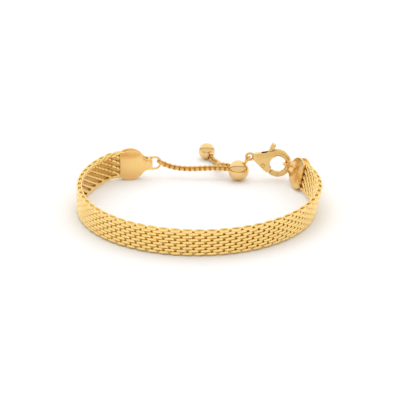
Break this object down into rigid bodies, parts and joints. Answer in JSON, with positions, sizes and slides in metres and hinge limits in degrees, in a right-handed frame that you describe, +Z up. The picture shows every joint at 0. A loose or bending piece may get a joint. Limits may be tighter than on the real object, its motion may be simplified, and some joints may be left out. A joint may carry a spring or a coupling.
{
  "type": "mesh bracelet",
  "caption": "Flat woven-mesh bracelet with rounded end caps, a box-chain adjuster that ends in round beads, and a lobster clasp with a sprung lever.",
  "frame": {"origin": "on the surface that the bracelet rests on, below the middle of its outer box", "axes": "+Z up; +Y from the front of the band to the clasp and chain at the back; +X to the right, seen from the front"},
  "size_m": [0.0584, 0.0644, 0.0094],
  "materials": {
    "woven_gold": "bright gold-plated wire, flattened and woven",
    "polished_gold": "mirror-polished gold plate",
    "chain_gold": "bright gold-plated folded strip",
    "cast_gold": "polished gold-plated casting"
  },
  "bodies": {
    "bracelet": {"mesh_band": "woven_gold", "left_end_cap": "polished_gold", "right_end_cap": "polished_gold", "main_chain": "chain_gold", "tail_chain": "chain_gold", "slider_bead": "polished_gold", "end_bead": "polished_gold", "clasp_body": "cast_gold", "clasp_pin": "cast_gold"},
    "lever": {"clasp_lever": "cast_gold"}
  },
  "joints": [
    {"name": "lever_pivot", "type": "hinge", "parent": "bracelet", "child": "lever", "pos_m": [0.01522, 0.01671, 0.00384], "axis": [0, -1, 0], "range_deg": [0, 22], "stiffness_Nm_per_rad": 0.002}
  ]
}
